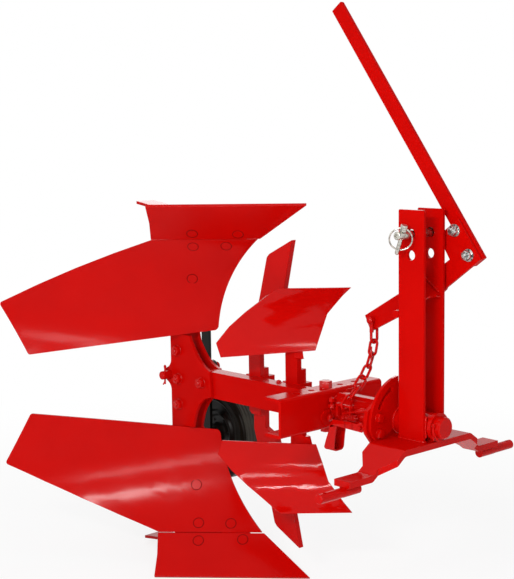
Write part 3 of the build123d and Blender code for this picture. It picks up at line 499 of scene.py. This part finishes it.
# flat bolt heads in shares and moldboards: where each head lies on the upper body
ploughBolt = {"radius": 13.0, "gap": 1.7, "proud": 0.55, "paintProud": 0.3, "reach": 60, "heads": [
    ("share", (-664, -116, 406)), ("share", (-581, -33, 403)), ("moldboard", (-689, -93, 369)),
    ("moldboard", (-631, -29, 370)), ("moldboard", (-732, -61, 279)),
]}
intoBoard = Vector((-1, 1, 0)).normalized()
reach = ploughBolt["reach"]
# each head gets a thin dark ring just proud of the board, painted shade where a sunk head's recess would lie in
# shadow
heads, gaps = bmesh.new(), bmesh.new()
for side, sign in (("upper", 1), ("lower", -1)):
    surfaces = {}
    for node in ("share", "moldboard"):
        bm = bmesh.new()
        bm.from_mesh(frame["nodes"][node + "_" + side].data)
        surfaces[node] = BVHTree.FromBMesh(bm)
        bm.free()
    for node, (x, y, z) in ploughBolt["heads"]:
        start = spot(x + reach, y - reach, sign * z)
        place, normal = surfaces[node].ray_cast(start, intoBoard)[:2]
        turnedShape(heads, disc(ploughBolt["radius"], -1, ploughBolt["proud"], 0.5), place, normal, 40)
        gapIn, gapOut = ploughBolt["radius"] - 0.4, ploughBolt["radius"] + ploughBolt["gap"]
        top = ploughBolt["paintProud"]
        turnedShape(gaps, [(gapIn, -0.5), (gapIn, top), (gapOut, top), (gapOut, -0.5)], place, normal, 40)
finish(heads, "ploughBoltHeads", "turnover_frame", red, (), 35)
finish(gaps, "ploughBoltGaps", "turnover_frame", gap, (), 35)
print("plough bolts made")

# level top-link pin, and the linch pin through its near end, which leans forward
topPin = {"radius": 9.5, "lean": 20.0, "ring": 25.5, "ringWire": 1.9, "shank": 4.7, "facing": 43.0}
pinLow, pinHigh = (Vector(corner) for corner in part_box("top_link_pin"))
topPinAt = Vector((0, pinLow.y, (pinLow.z + pinHigh.z) / 2))
length = (pinHigh.y - pinLow.y) * 1000
bm = bmesh.new()
profile = [
    (0, 3), (3.4, 2.2), (4.2, 0), (7.2, 0), (9.0, 1.2), (topPin["radius"], 3),
    (topPin["radius"], length - 2.5), (13.4, length - 2.5), (14, length - 1.9), (14, length - 0.6),
    (13.4, length), (0, length),
]
turnedShape(bm, profile, topPinAt, far, 48)
finish(bm, "topLinkPin", "headstock", zinc, ("top_link_pin",), 35)
lean = math.radians(topPin["lean"])
linchUp = Vector((math.sin(lean), 0, math.cos(lean)))
linchAt = Vector((0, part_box("linch_pin")[0][1] + 0.009, topPinAt.z))
bm = bmesh.new()
shank = [(0, -46), (2.6, -46), (4.1, -44.5), (topPin["shank"], -42), (topPin["shank"], 9)]
head = [(7.6, 9.8), (8.6, 10.8), (8.6, 14.6), (7.4, 15.4)]
head += [(7.4, 18.0), (8.6, 18.8), (8.6, 23.6), (7.6, 25), (0, 25)]
turnedShape(bm, shank + head, linchAt, linchUp, 32)
facing = math.radians(topPin["facing"])
across = Vector((math.cos(facing), math.sin(facing), 0))
across = (across - linchUp * across.dot(linchUp)).normalized()
ringAt = linchAt + linchUp * (17 - topPin["ring"]) / 1000
ringShape(bm, topPin["ring"], topPin["ringWire"], ringAt, linchUp.cross(across), 64)
finish(bm, "linchPinAndRing", "headstock", zinc, ("linch_pin",), 35)
print("top-link pin made")

# split pins
splitPin = {"wire": 1.9, "thinWire": 1.8}
wires("wheelShaftSplitPin", [run(
    (-847, -66, -16), (-847, -66, 24), (-845, -66, 28), (-843, -66, 32), (-846, -66, 36), (-850, -66, 34),
    (-849, -66, 28), (-848, -66, 24), (-848, -66, -4), (-851, -66, -14), (-856, -66, -18),
)], splitPin["wire"], "turnover_frame", redSmall, curved=True)
wires("hubSplitPin", [run(
    (57, -25, -26), (56.5, -27, -10), (56.5, -27, 4), (55, -28, 9), (58, -29, 13),
    (61, -28, 9), (58, -27, 3), (58, -26, -8), (60, -22, -20), (64, -18, -25),
)], splitPin["wire"], "turnover_frame", redSmall, curved=True)
wires("leverSplitPin", [run(
    (8, 61, 334), (5, 61, 338), (8, 61, 342), (11, 61, 338), (9, 61, 330), (9, 61, 290), (12, 61, 280),
)], splitPin["thinWire"], "headstock", redSmall, curved=True)

# welds
weld = {"bead": 2.6, "thinBead": 2.4, "ripple": 0.22}


def onBothSides(*places):
    # a seam given on the far side, first as its near twin and then itself
    return [run(*[(x, sign * y, z) for x, y, z in places]) for sign in (-1, 1)]


mastSeams = [
    run((-36, -38, -31.5), (37, -38, -31.5), (38.5, -36, -31.5), (38.5, -30, -31.5)),
    run((-36, 38, -31.5), (37, 38, -31.5), (38.5, 36, -31.5)),
]
mastSeams += onBothSides((38.5, 30.5, -22), (38.5, 31.5, 0), (38.5, 30.5, 20), (38, 28, 26))
mastSeams += onBothSides((42, 9, -32), (-50, 9, -32))
mastSeams += [run((31, -28, 293), (31, -10, 296.5)), run((31, 10, 296.5), (31, 28, 293))]
mastSeams += onBothSides((28, 28.5, 303), (-28, 28.5, 343))
mastSeams += onBothSides((-38.5, 30.5, -22), (-38.5, 31.5, 0), (-38.5, 30.5, 20), (-38, 28, 26))
wires("mastWelds", mastSeams, weld["bead"], "headstock", redSmall, weld["ripple"])


def hoop(x, radius, start, sweep, steps=36):
    # points round the turnover axis
    turns = [math.radians(start + sweep * step / steps) for step in range(steps + 1)]
    return [spot(x, radius * math.cos(turn), radius * math.sin(turn)) for turn in turns]


shaftSeams = [hoop(-256, 32, 0, 360), hoop(-59, 31, 40, 280)]
wires("shaftWelds", shaftSeams, weld["bead"], "turnover_frame", redSmall, weld["ripple"])
pinSeams = [run((x, sign * 216, -99.2), (x, sign * 260, -99.2)) for sign in (-1, 1) for x in (-9.5, 9.5)]
wires("lowerPinWelds", pinSeams, weld["thinBead"], "headstock", redSmall, weld["ripple"])
channelSeams = [run((-266, y, -34), (-266, y, 34)) for y in (-41.5, -0.5)]
wires("channelWelds", channelSeams, weld["thinBead"], "turnover_frame", redSmall, weld["ripple"])
print("split pins and welds made")

# latch: a folded sheet with a closed, rounded foot, and a coil spring between its arms


def sheet(bm, points, span, edge=0.6):
    # an upright plate: its outline in x and z, and the y of its two sides
    before = set(bm.verts)
    ring = [bm.verts.new(spot(x, span[0], z)) for x, z in points]
    base = bm.faces.new(ring)
    grown = bmesh.ops.extrude_face_region(bm, geom=[base])["geom"]
    moved = [v for v in grown if isinstance(v, bmesh.types.BMVert)]
    bmesh.ops.translate(bm, verts=moved, vec=(0, (span[1] - span[0]) / 1000, 0))
    fresh = added(bm, before)
    turnOutward(bm, fresh)
    sharp = [e for e in {e for v in fresh for e in v.link_edges} if e.calc_face_angle(0) > 0.5]
    breakEdges(bm, sharp, edge / 1000, True)


# x and z are taken from the eye that the chain holds, y from the near side
latch = {"thick": 3.0, "bend": 10.0, "foot": -109.0, "eyeFromCorner": (46, 110), "eyeY": 23, "tabs": (16, 30)}
latchLow, latchHigh = (Vector(corner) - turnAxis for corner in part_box("latch_body"))
nearSide, farSide = latchLow.y * 1000, latchHigh.y * 1000
eyeX, eyeZ = (edge * 1000 + step for edge, step in zip((latchLow.x, latchLow.z), latch["eyeFromCorner"]))
thick = latch["thick"]
armFoot = [(-26, -52), (-5, -45), (77, -48), (83, -40)]
nearArm = armFoot + [(82, -31), (77, -25), (71, -25), (60, -30), (40, -29), (-17, -31)]
farArm = armFoot + [(82, -26), (77, -19), (71, -18), (50, 0), (-19, -20)]


def bar(x, low, high):
    # outline of a cross piece as thick as the sheet
    return [(x, low), (x + thick, low), (x + thick, high), (x, high)]


tabSpan = tuple(nearSide + y for y in latch["tabs"])
latchSheets = [
    (nearArm, (nearSide, nearSide + thick)), (farArm, (farSide - thick, farSide)),
    (bar(45, -46, -30), (nearSide, farSide)), (bar(22, -44, -30), (nearSide, farSide)),
    (bar(-19, -26, 5), tabSpan), (bar(22, -34, 5), tabSpan),
]
bm = bmesh.new()
for outline, span in latchSheets:
    sheet(bm, [(eyeX + x, eyeZ + z) for x, z in outline], span)
turnedShape(bm, disc(3.5, -21, 27, 0.8), spot(eyeX, nearSide + latch["eyeY"], eyeZ), ahead, 20)
front = [(-45, -5), (-72, -10), (-106, -14)]
rear = [(-52, -26), (-84, -39), (-102, -45)]


def acrossAt(edge, z):
    # x of the foot's front or rear edge at a height under the eye
    for (z1, x1), (z2, x2) in zip(edge, edge[1:]):
        if z >= z2:
            return x1 + (x2 - x1) * max(0, (z1 - z) / (z1 - z2))
    return edge[-1][1]


def footPath(inset):
    # near side down, round the bend, across and up the far side
    low, bend = latch["foot"] + inset, latch["bend"] - inset
    left, right = nearSide + inset, farSide - inset
    line = [(left, z) for z in (-45, -58, -72, -84)]
    for step in range(7):
        turn = math.radians(step * 15)
        line.append((left + bend - bend * math.cos(turn), low + bend - bend * math.sin(turn)))
    line += [(left + right - y, z) for y, z in reversed(line)]
    return line


rings = [
    [(acrossAt(edge, z), y, z) for y, z in footPath(inset)]
    for edge, inset in ((front, 0), (front, thick), (rear, thick), (rear, 0))
]
before = set(bm.verts)
columns = [[bm.verts.new(spot(eyeX + x, y, eyeZ + z)) for x, y, z in ring] for ring in rings]
for first, second in zip(columns, columns[1:] + columns[:1]):
    for index in range(len(first) - 1):
        bm.faces.new((first[index], first[index + 1], second[index + 1], second[index]))
for end in (0, -1):
    bm.faces.new([column[end] for column in columns])
closing = columns[2]
for index in range(len(closing) // 2 - 1):
    bm.faces.new((closing[index], closing[index + 1], closing[-2 - index], closing[-1 - index]))
turnOutward(bm, added(bm, before))
finish(bm, "latchBody", "latch", redSmall, ("latch_body",), 35)

bm = bmesh.new()
ringShape(bm, 6.2, 1.5, spot(-184, -66, -5), (1, 0, 0.12), 20, 8.5, 44)
finish(bm, "latchSpring", "latch", redSmall, (), 60)
latchRods = [run((-188, -64, 4), (-150, -68, 14), (-103, -72, 27)), run((-122, -74, 7), (-103, -73, 12))]
wires("latchRods", latchRods, 2.0, "latch", redSmall)


def dome(radius, rise):
    # profile of a round bolt head on a thin collar
    return [(0, 0), (radius + 1.5, 0), (radius + 1.5, 1.6), (radius, 2.2), (radius * 0.96, rise * 0.45),
            (radius * 0.75, rise * 0.8), (radius * 0.4, rise * 0.96), (0, rise)]


# two round heads and a stud with two nuts, on the cross channel and the beam
smallNut = {"across": 13, "stud": 4.6, "low": (0, 9), "high": (15, 24)}
bm = bmesh.new()
turnedShape(bm, dome(7.5, 8), spot(-248, -45, -18), ahead, 28)
turnedShape(bm, dome(6.5, 7), spot(-455, -15, 34.8), upward, 28)
studAt = spot(-246, -40, 6)
hexShape(bm, smallNut["across"], smallNut["low"], studAt, upward, 0.3)
turnedShape(bm, stud(smallNut["stud"], 8, 26), studAt, upward, 20)
hexShape(bm, smallNut["across"], smallNut["high"], studAt, upward, 0.9)
finish(bm, "beamSmallBolts", "turnover_frame", redSmall, (), 35)

# bolts that slide in the sector plate's slot
sectorBolt = {"washer": (12, 2.2), "across": 19, "nutTop": 10, "head": (7, 7)}
bm = bmesh.new()
for index, centre in enumerate(loosePieces("sector_bolts")):
    washerRadius, washerTop = sectorBolt["washer"]
    seat = Vector((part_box("sector_plate")[1][0], centre.y, centre.z))
    turnedShape(bm, disc(washerRadius, 0, washerTop, 0.6), seat, ahead, 32)
    hexShape(bm, sectorBolt["across"], (washerTop, sectorBolt["nutTop"]), seat, ahead, 0.3 + index)
    back = Vector((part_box("adjuster_plate")[0][0], centre.y, centre.z))
    turnedShape(bm, dome(*sectorBolt["head"]), back, behind, 28)
finish(bm, "sectorBoltsAndNuts", "headstock", redSmall, ("sector_bolts",), 35)

# upright bolt through the beam; head and nut are the washer's radius and the width across the flats
beamBolt = {"washerTop": 3, "head": (16, 27), "nut": (15, 24), "headShort": 1}
bm = bmesh.new()
beamBoltLow, beamBoltHigh = (Vector(corner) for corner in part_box("beam_bolt"))
boltMiddle = (beamBoltLow + beamBoltHigh) / 2
beamFoot, beamTop = (corner[2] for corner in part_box("beam"))
headTop = (beamBoltHigh.z - beamTop) * 1000 - beamBolt["headShort"]
nutTop = (beamFoot - beamBoltLow.z) * 1000
for part, height, way, top, turn in (
    ("head", beamTop, upward, headTop, 0.2), ("nut", beamFoot, downward, nutTop, 0.5),
):
    washerRadius, across = beamBolt[part]
    seat = Vector((boltMiddle.x, boltMiddle.y, height))
    turnedShape(bm, disc(washerRadius, 0, beamBolt["washerTop"], 0.8), seat, way, 36)
    hexShape(bm, across, (beamBolt["washerTop"], top), seat, way, turn)
finish(bm, "beamBoltAndNut", "turnover_frame", redSmall, ("beam_bolt",), 35)

# shackle pin's head, the shackle's near leg and the hook that hangs by the chain
shackle = {"head": (7.5, 5.5), "legFromSide": 8, "leg": (1, -30), "legRadius": 5.2, "hookWire": 2.0}
shackleLow = Vector(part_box("chain_shackle")[0])
chainPinAt = jointAt["chain_pin"]
bm = bmesh.new()
headAt = Vector((chainPinAt.x, shackleLow.y + 0.001, chainPinAt.z))
turnedShape(bm, dome(*shackle["head"]), headAt, near, 28)
finish(bm, "shacklePinHead", "chain", redSmall, (), 35)
legY = (shackleLow.y - turnAxis.y) * 1000 + shackle["legFromSide"]
pinX, pinZ = (chainPinAt.x - turnAxis.x) * 1000, (chainPinAt.z - turnAxis.z) * 1000
shackleLeg = run(*[(pinX, legY, pinZ + height) for height in shackle["leg"]])
wires("shackleLeg", [shackleLeg], shackle["legRadius"], "chain", redSmall)
wires("chainHook", [run(
    (-183, 33, 152), (-180, 29, 147), (-178, 27, 138), (-175, 23, 124), (-173, 20, 112),
    (-176, 18, 106), (-180, 20, 109),
)], shackle["hookWire"], "chain", redSmall, curved=True)
print("latch and small bolts made")

# depth wheel: a solid tyre on a dished disc with a long hub
wheelLow, wheelHigh = (Vector(corner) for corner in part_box("wheel_tyre"))
hub = Vector(((wheelLow.x + wheelHigh.x) / 2, wheelLow.y, (wheelLow.z + wheelHigh.z) / 2))
width = (wheelHigh.y - wheelLow.y) * 1000
outer = (wheelHigh.z - wheelLow.z) * 500


def mirrored(profile):
    # the same profile seen from the wheel's far side, run backwards
    return [(radius, width - along) for radius, along in reversed(profile)]


wheelSteps = 96
tyreSize = {"bead": 94.0, "band": 3.0, "grooves": 6, "grooveTop": 2.4, "grooveFoot": 1.4, "grooveDepth": 1.6}
bead, band = tyreSize["bead"], tyreSize["band"]
side = [(bead, 6), (bead + 1.5, 1.6), (bead + 4, 0), (bead + 7, 0), (bead + 8, 1.4), (bead + 9.5, 1.4)]
side += [(bead + 10.5, 0), (outer - 17, 0.4), (outer - 16, 1.8), (outer - 14.8, 1.8), (outer - 13.8, 0.9)]
side += [(outer - 5, 2.6), (outer - 1.8, 5.5), (outer - 0.8, 8), (outer - band, 8.5)]
bm = bmesh.new()
turnedShape(bm, side + mirrored(side) + [side[0]], hub, far, wheelSteps)
finish(bm, "wheelTyre", "wheel", tyre, ("wheel_tyre",), 30)
grooves = []
for index in range(tyreSize["grooves"]):
    at = width * (index + 1) / (tyreSize["grooves"] + 1)
    lip, floorRadius = outer - 0.1, outer - tyreSize["grooveDepth"]
    grooves += [(lip, at - tyreSize["grooveTop"]), (floorRadius, at - tyreSize["grooveFoot"])]
    grooves += [(floorRadius, at + tyreSize["grooveFoot"]), (lip, at + tyreSize["grooveTop"])]
shoulder = [(outer - band - 0.5, 8.4), (outer - 0.9, 8.4), (outer - 0.3, 9.6)]
bm = bmesh.new()
turnedShape(bm, shoulder + grooves + mirrored(shoulder) + [shoulder[0]], hub, far, wheelSteps)
finish(bm, "wheelTread", "wheel", tread, (), 30)
discSide = [
    (94.2, 4), (92, 5), (90.4, 9), (89.2, 19), (86, 22), (68, 22), (64.5, 20.5), (61, 16), (58, 14.4),
    (54, 14.4), (51, 16.5), (46, 22.5), (34, 24), (29, 22), (25.5, 17), (24.0, 6), (22.4, 3), (17.8, 2.4),
    (17.0, 3.4), (10.3, 3.4),
]
bm = bmesh.new()
turnedShape(bm, discSide + mirrored(discSide) + [discSide[0]], hub, far, wheelSteps)
discBolts = {"count": 6, "circle": 0.038, "depth": 0.0232, "radius": 4.2}
for index in range(discBolts["count"]):
    turn = index * 2 * math.pi / discBolts["count"]
    aside, height = math.cos(turn) * discBolts["circle"], math.sin(turn) * discBolts["circle"]
    place = hub + Vector((aside, discBolts["depth"], height))
    turnedShape(bm, disc(discBolts["radius"], -1, 2.2, 0.8), place, near, 16)
finish(bm, "wheelDisc", "wheel", black, ("wheel_rim",), 30)
print("wheel made")

# ---- floor, light and camera

studio = {
    "floorColour": (0.92, 0.92, 0.92),
    "floorGlow": 0.82,
    "worldOnObject": 0.42,
    "fadeStart": 1.0,
    "fadeEnd": 2.6,
    "floorRadius": 30,
    "floorGap": 0.0005,
}
boxLow, boxHigh = (Vector(corner) for corner in cadBox)
middle = (boxLow + boxHigh) / 2

floorMesh = bmesh.new()
floorAt = (middle.x, middle.y, boxLow.z - studio["floorGap"])
bmesh.ops.create_circle(floorMesh, cap_ends=True, segments=96, radius=studio["floorRadius"])
bmesh.ops.translate(floorMesh, vec=floorAt, verts=floorMesh.verts)
floorData = bpy.data.meshes.new("floor")
floorMesh.to_mesh(floorData)
floorMesh.free()
floor = bpy.data.objects.new("floor", floorData)
bpy.context.scene.collection.objects.link(floor)
shades = Shades(bpy.data.materials.new("paleFloor"))
shift = {"Vector": shades.place(), "Location": (-middle.x, -middle.y, 0)}
centred = shades.node("ShaderNodeMapping", None, shift)
distance = shades.node("ShaderNodeVectorMath", {"operation": "LENGTH"}, {0: centred}, "Value")
seen = shades.node("ShaderNodeLightPath", output="Is Camera Ray")
reflected = shades.node("ShaderNodeLightPath", output="Is Glossy Ray")
fadeMiddle = (studio["fadeStart"] + studio["fadeEnd"]) / 2
fade = distance.above(fadeMiddle, fadeMiddle - studio["fadeStart"])
away = (fade * (1 - studio["floorGlow"]) + studio["floorGlow"]) * (seen + reflected)
matt = shades.node("ShaderNodeBsdfDiffuse", None, {"Color": (*studio["floorColour"], 1)})
glow = shades.node("ShaderNodeEmission", None, {"Color": (1, 1, 1, 1), "Strength": 1.0})
both = shades.node("ShaderNodeMixShader", None, {0: away, 1: matt, 2: glow})
shades.node("ShaderNodeOutputMaterial", None, {"Surface": both})
floorData.materials.append(shades.owner)

world = bpy.data.worlds.new("studio")
bpy.context.scene.world = world
shades = Shades(world)
seen = shades.node("ShaderNodeLightPath", output="Is Camera Ray")
reflected = shades.node("ShaderNodeLightPath", output="Is Glossy Ray")
through = shades.node("ShaderNodeLightPath", output="Is Transmission Ray")
shown = (seen + reflected + through) * (1 - studio["worldOnObject"]) + studio["worldOnObject"]
sky = shades.node("ShaderNodeBackground", None, {"Color": (1, 1, 1, 1), "Strength": shown})
shades.node("ShaderNodeOutputWorld", None, {"Surface": sky})

# places are metres from the middle of the plough; the last four are narrow, for streaks on the boards
lamps = {
    "keyLamp": {"from": (-0.6, -3.2, 2.4), "size": (1.2, 1.2), "power": 14},
    "overheadLamp": {"from": (0.4, 0.3, 3.0), "size": (2.4, 2.4), "power": 18},
    "frontLamp": {"from": (3.2, -1.4, 1.0), "size": (1.0, 1.8), "power": 5},
    "rearLamp": {"from": (-2.6, 2.4, 1.8), "size": (2.0, 1.6), "power": 26},
    "cameraLampHigh": {"from": (1.24, -2.46, 1.08), "size": (0.8, 0.15), "power": 35},
    "cameraLampMid": {"from": (2.24, -1.79, 0.96), "size": (0.5, 0.06), "power": 6},
    "cameraLampLow": {"from": (2.02, -2.55, 0.28), "size": (1.2, 0.18), "power": 15},
    "floorLamp": {"from": (1.75, -1.28, -0.38), "size": (0.35, 0.045), "power": 2},
}
for name, lamp in lamps.items():
    light = bpy.data.lights.new(name, "AREA")
    light.shape = "RECTANGLE"
    light.size, light.size_y = lamp["size"]
    light.energy = lamp["power"]
    holder = bpy.data.objects.new(name, light)
    holder.location = middle + Vector(lamp["from"])
    holder.rotation_euler = Vector(lamp["from"]).to_track_quat("Z", "Y").to_euler()
    bpy.context.scene.collection.objects.link(holder)

view = {"from": (1.9647, -2.3300, 0.3214), "azimuth": 47.15, "elevation": 7.47, "roll": -0.80, "lens": 94.55}
azimuth, elevation, roll = (math.radians(view[key]) for key in ("azimuth", "elevation", "roll"))
level = math.cos(elevation)
back = Vector((math.sin(azimuth) * level, -math.cos(azimuth) * level, math.sin(elevation)))
right = Vector((math.cos(azimuth), math.sin(azimuth), 0))
up = back.cross(right)
rolledRight = right * math.cos(roll) + up * math.sin(roll)
rolledUp = up * math.cos(roll) - right * math.sin(roll)
cameraData = bpy.data.cameras.new("camera")
cameraData.sensor_fit = "HORIZONTAL"
cameraData.sensor_width = 36
cameraData.lens = view["lens"]
camera = bpy.data.objects.new("camera", cameraData)
turned = Matrix((rolledRight, rolledUp, back)).transposed().to_4x4()
camera.matrix_world = Matrix.Translation(Vector(view["from"])) @ turned
bpy.context.scene.collection.objects.link(camera)
bpy.context.scene.camera = camera
bpy.context.scene.view_settings.view_transform = "Standard"
print("floor, lamps and camera set")
